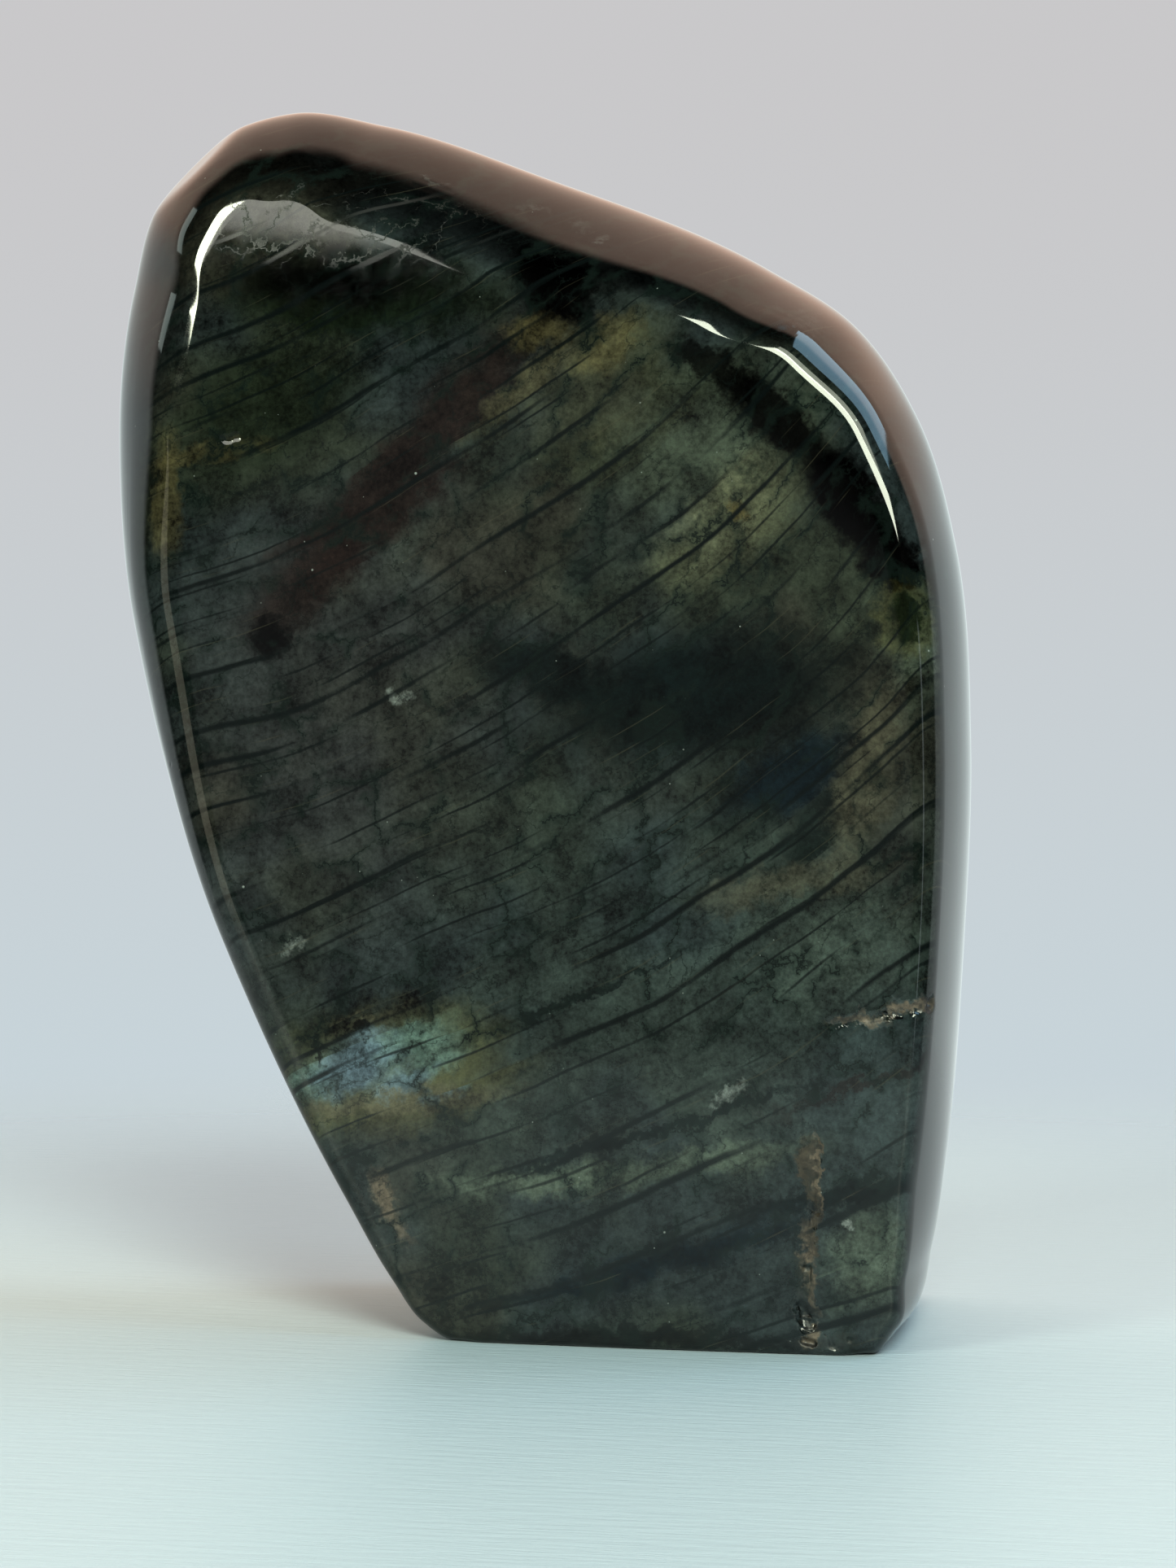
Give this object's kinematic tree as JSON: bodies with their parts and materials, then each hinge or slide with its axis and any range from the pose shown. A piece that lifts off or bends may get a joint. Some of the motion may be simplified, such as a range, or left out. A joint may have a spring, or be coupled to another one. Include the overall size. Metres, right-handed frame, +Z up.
{
  "type": "polished stone freeform",
  "caption": "Upright freeform of polished labradorite: a tall hand-ground stone slab with softly bevelled edges and a slanting top, standing on a flat cut base.",
  "frame": {"origin": "on the surface the stone stands on, below the middle of its width and thickness", "axes": "+Z up from the flat base to the top, -Y toward the viewer in front of the broad polished face, +X to the viewer's right"},
  "size_m": [0.084, 0.0342, 0.1179],
  "materials": {
    "labradorite": "polished"
  },
  "bodies": {
    "root": {"polished_stone": "labradorite"}
  },
  "joints": []
}
